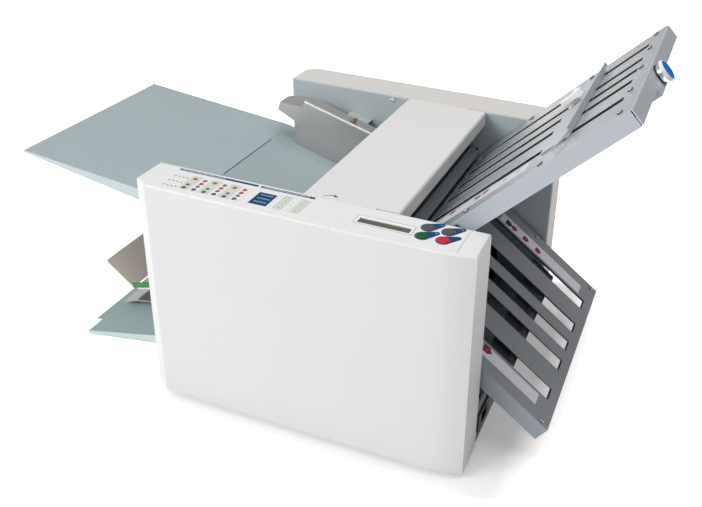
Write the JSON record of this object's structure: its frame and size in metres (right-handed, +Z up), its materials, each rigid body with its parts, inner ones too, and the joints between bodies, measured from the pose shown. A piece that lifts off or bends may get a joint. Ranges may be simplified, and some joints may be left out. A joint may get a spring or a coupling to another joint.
{
  "type": "paper folding machine",
  "caption": "Desktop buckle folding machine with a feed table, opening top cover, upper and lower fold plates with sliding stops, control panel and delivery tray.",
  "frame": {"origin": "middle of the machine's overall footprint, on the surface it stands on", "axes": "+X along the paper path from the feed table to the fold plates, -Y towards the operator, +Z up"},
  "size_m": [0.8586, 0.472, 0.5028],
  "materials": {
    "housing_white": "fine textured off-white",
    "frame_grey": "satin pale blue-grey paint",
    "cover_white": "satin off-white paint",
    "table_paint": "satin grey-green paint",
    "plate_light": "satin light grey paint",
    "plate_dark": "satin dark grey paint",
    "zinc_steel": "zinc plated",
    "gear_steel": "machined",
    "roller_rubber": "ground matt rubber",
    "belt_rubber": "matt black",
    "foot_rubber": "matt black",
    "black_plastic": "moulded black",
    "bush_plastic": "natural plastic",
    "print_sheet": "printed film",
    "display_dark": "tinted window",
    "board_green": "solder mask",
    "button_grey": "moulded grey",
    "button_green": "moulded green",
    "button_red": "moulded red",
    "deflector_beige": "satin beige",
    "knob_beige": "moulded beige",
    "knob_blue": "glossy blue",
    "lever_white": "moulded white",
    "motor_black": "black paint",
    "tray_paint": "satin grey-green paint"
  },
  "bodies": {
    "frame": {"base_plate": "frame_grey", "feet": "foot_rubber", "front_side_frame": "frame_grey", "rear_side_frame": "frame_grey", "tie_bars": "zinc_steel", "machine_screws": "zinc_steel", "shaft_bushes": "bush_plastic", "front_housing": "housing_white", "rear_housing": "housing_white", "cover_hinge_pins": "zinc_steel", "feed_table": "table_paint", "lift_springs": "zinc_steel", "front_side_guide": "zinc_steel", "frame_brackets": "plate_dark", "stack_wall": "zinc_steel", "separator_pad": "roller_rubber", "transport_belts": "belt_rubber", "exit_chute": "zinc_steel", "drive_motor": "motor_black", "drive_belts": "belt_rubber", "control_overlay": "print_sheet", "display_window": "display_dark", "control_board": "board_green", "power_inlet": "black_plastic"},
    "cover": {"top_cover": "cover_white"},
    "lift": {"lift_plate": "table_paint"},
    "side_guide": {"rear_side_guide": "zinc_steel"},
    "guide_knob": {"guide_lock_knob": "knob_beige"},
    "feed": {"feed_shaft": "gear_steel", "feed_roller": "roller_rubber"},
    "transport": {"transport_shaft": "gear_steel"},
    "exit": {"exit_shaft": "gear_steel"},
    "motor_drive": {"motor_pulley": "gear_steel"},
    "upper_plate": {"upper_plate_top": "plate_light", "upper_plate_bottom": "plate_light", "upper_knob_bracket": "plate_light", "upper_plate_screws": "zinc_steel"},
    "upper_stop": {"upper_paper_stop": "plate_light"},
    "upper_clamp": {"upper_stop_clamp": "lever_white"},
    "adjuster": {"upper_adjust_knob": "knob_blue"},
    "lower_plate": {"lower_plate_top": "plate_dark", "lower_plate_bottom": "plate_dark", "lower_plate_screws": "zinc_steel"},
    "lower_stop": {"lower_paper_stop": "zinc_steel"},
    "tray": {"delivery_tray": "tray_paint", "stacker_plate": "lever_white"},
    "deflector": {"exit_deflector": "deflector_beige"},
    "minus": {"minus_button": "button_grey"},
    "plus": {"plus_button": "button_grey"},
    "start": {"start_button": "button_green"},
    "stop": {"stop_button": "button_red"},
    "rocker": {"power_switch": "black_plastic"},
    "roller_1": {"fold_roller_1": "roller_rubber", "roller_gear_1": "gear_steel"},
    "roller_2": {"fold_roller_2": "roller_rubber", "roller_gear_2": "gear_steel"},
    "roller_3": {"fold_roller_3": "roller_rubber", "roller_gear_3": "gear_steel"},
    "roller_4": {"fold_roller_4": "roller_rubber", "roller_gear_4": "gear_steel"}
  },
  "joints": [
    {"name": "roller_2_turn", "type": "hinge", "parent": "frame", "child": "roller_2", "pos_m": [0.13441, 0, 0.218], "axis": [0, 1, 0], "continuous": true},
    {"name": "roller_1_turn", "type": "hinge", "parent": "frame", "child": "roller_1", "pos_m": [0.1236, 0, 0.25129], "axis": [0, 1, 0], "continuous": true},
    {"name": "roller_3_turn", "type": "hinge", "parent": "frame", "child": "roller_3", "pos_m": [0.16937, 0, 0.21629], "axis": [0, 1, 0], "continuous": true},
    {"name": "roller_4_turn", "type": "hinge", "parent": "frame", "child": "roller_4", "pos_m": [0.14581, 0, 0.18491], "axis": [0, 1, 0], "continuous": true},
    {"name": "feed_turn", "type": "hinge", "parent": "frame", "child": "feed", "pos_m": [0.06207, 0, 0.25588], "axis": [0, 1, 0], "continuous": true},
    {"name": "transport_turn", "type": "hinge", "parent": "frame", "child": "transport", "pos_m": [0.10001, 0, 0.1635], "axis": [0, 1, 0], "continuous": true},
    {"name": "exit_turn", "type": "hinge", "parent": "frame", "child": "exit", "pos_m": [-0.13453, 0, 0.09269], "axis": [0, 1, 0], "continuous": true},
    {"name": "motor_turn", "type": "hinge", "parent": "frame", "child": "motor_drive", "pos_m": [0.15401, 0, 0.062], "axis": [0, 1, 0], "continuous": true},
    {"name": "cover_open", "type": "hinge", "parent": "frame", "child": "cover", "pos_m": [0.14501, 0, 0.312], "axis": [0, 1, 0], "range_deg": [0, 108]},
    {"name": "lift_tilt", "type": "hinge", "parent": "frame", "child": "lift", "pos_m": [-0.16204, 0, 0.23935], "axis": [0, -1, 0], "range_deg": [0, 12], "deforming": ["lift_springs"]},
    {"name": "guide_slide", "type": "slide", "parent": "frame", "child": "side_guide", "axis": [0, 1, 0], "range_m": [-0.012, 0.009]},
    {"name": "guide_knob_turn", "type": "hinge", "parent": "frame", "child": "guide_knob", "pos_m": [-0.05135, 0.133, 0.27852], "axis": [0.284, 0, 0.9588], "range_deg": [0, 360]},
    {"name": "upper_plate_pull", "type": "slide", "parent": "frame", "child": "upper_plate", "axis": [0.7206, 0, 0.6934], "range_m": [0, 0.06]},
    {"name": "upper_stop_slide", "type": "slide", "parent": "upper_plate", "child": "upper_stop", "axis": [0.7206, 0, 0.6934], "range_m": [-0.12, 0.06]},
    {"name": "upper_clamp_turn", "type": "hinge", "parent": "upper_stop", "child": "upper_clamp", "pos_m": [0.31067, 0.068, 0.41152], "axis": [-0.6934, 0, 0.7206], "range_deg": [0, 75]},
    {"name": "adjuster_turn", "type": "hinge", "parent": "upper_plate", "child": "adjuster", "pos_m": [0.4118, -0.012, 0.48525], "axis": [0.7206, 0, 0.6934], "range_deg": [-360, 360]},
    {"name": "lower_plate_pull", "type": "slide", "parent": "frame", "child": "lower_plate", "axis": [0.7997, 0, -0.6004], "range_m": [0, 0.05]},
    {"name": "lower_stop_slide", "type": "slide", "parent": "lower_plate", "child": "lower_stop", "axis": [0.7997, 0, -0.6004], "range_m": [-0.09, 0.045]},
    {"name": "tray_lift", "type": "hinge", "parent": "frame", "child": "tray", "pos_m": [-0.1485, 0, 0.04375], "axis": [0, 1, 0], "range_deg": [0, 15]},
    {"name": "deflector_lift", "type": "hinge", "parent": "frame", "child": "deflector", "pos_m": [-0.16199, 0, 0.122], "axis": [0, 1, 0], "range_deg": [0, 25]},
    {"name": "minus_press", "type": "slide", "parent": "frame", "child": "minus", "axis": [0, 0, -1], "range_m": [0, 0.0012], "stiffness_N_per_m": 400},
    {"name": "plus_press", "type": "slide", "parent": "frame", "child": "plus", "axis": [0, 0, -1], "range_m": [0, 0.0012], "stiffness_N_per_m": 400},
    {"name": "start_press", "type": "slide", "parent": "frame", "child": "start", "axis": [0, 0, -1], "range_m": [0, 0.0012], "stiffness_N_per_m": 400},
    {"name": "stop_press", "type": "slide", "parent": "frame", "child": "stop", "axis": [0, 0, -1], "range_m": [0, 0.0012], "stiffness_N_per_m": 400},
    {"name": "rocker_tilt", "type": "hinge", "parent": "frame", "child": "rocker", "pos_m": [0.26401, -0.1, 0.04], "axis": [0, 1, 0], "range_deg": [-7, 7]}
  ],
  "couplings": [
    {"joint": "roller_1_turn", "follows": "roller_2_turn", "ratio": -1},
    {"joint": "roller_3_turn", "follows": "roller_2_turn", "ratio": -1},
    {"joint": "roller_4_turn", "follows": "roller_2_turn", "ratio": -1},
    {"joint": "feed_turn", "follows": "roller_2_turn", "ratio": -0.71429},
    {"joint": "transport_turn", "follows": "roller_2_turn", "ratio": -0.83333},
    {"joint": "exit_turn", "follows": "roller_2_turn", "ratio": -0.83333},
    {"joint": "motor_turn", "follows": "roller_2_turn", "ratio": 2}
  ]
}
